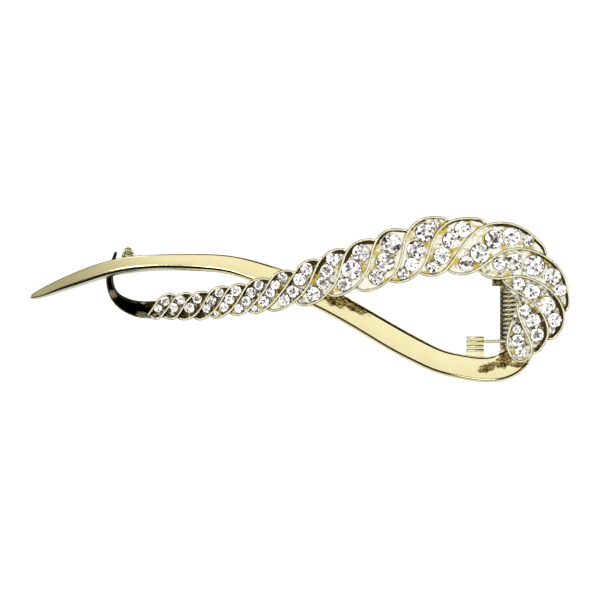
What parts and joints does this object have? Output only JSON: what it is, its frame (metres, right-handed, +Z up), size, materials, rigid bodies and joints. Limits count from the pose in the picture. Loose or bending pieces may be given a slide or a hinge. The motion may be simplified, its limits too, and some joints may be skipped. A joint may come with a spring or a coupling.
{
  "type": "sprung hair clip",
  "caption": "Long sprung hair clip with a plain looped ribbon, a stone-set twisted braid curling over the hinge, and a hooked lower jaw.",
  "frame": {"origin": "on the plane of the flat underside, below the middle of the clip's length and width", "axes": "+X along the clip towards the thumb levers, +Y across it, +Z up out of the jewelled face"},
  "size_m": [0.1078, 0.0333, 0.0178],
  "materials": {
    "ribbon_gold": "polished pale gold plate, satin on the blade",
    "tray_gold": "cast, deeper gold between the stones",
    "rim_gold": "polished pale gold",
    "fitting_gold": "gold-plated stamped metal",
    "jaw_gold": "mirror-polished gold plate",
    "spring_wire": "bronze-toned plated wire",
    "stone": "clear cut crystal with a silver foil back"
  },
  "bodies": {
    "lower_jaw_body": {"lower_jaw": "jaw_gold", "hinge_bracket": "fitting_gold", "hinge_pin": "fitting_gold", "torsion_spring": "spring_wire"},
    "upper_jaw_body": {"plain_ribbon": "ribbon_gold", "braid_tray": "tray_gold", "twist_rims": "rim_gold", "stones_row_01": "stone", "stones_row_02": "stone", "stones_row_03": "stone", "stones_row_04": "stone", "stones_row_05": "stone", "stones_row_06": "stone", "stones_row_07": "stone", "stones_row_08": "stone", "stones_row_09": "stone", "stones_row_10": "stone", "stones_row_11": "stone", "stones_row_12": "stone", "stones_row_13": "stone", "stones_row_14": "stone", "stones_row_15": "stone", "stones_row_16": "stone", "stones_row_17": "stone", "stones_row_18": "stone", "upper_lug_inner": "fitting_gold", "upper_lug_outer": "fitting_gold", "spring_anchor": "fitting_gold", "ribbed_tooth": "fitting_gold"}
  },
  "joints": [
    {"name": "jaw_hinge", "type": "hinge", "parent": "lower_jaw_body", "child": "upper_jaw_body", "pos_m": [0.0418, 0, 0.0076], "axis": [0, 1, 0], "range_deg": [0, 30], "stiffness_Nm_per_rad": 0.12, "springref_deg": -34.38, "deforming": ["torsion_spring"]}
  ]
}
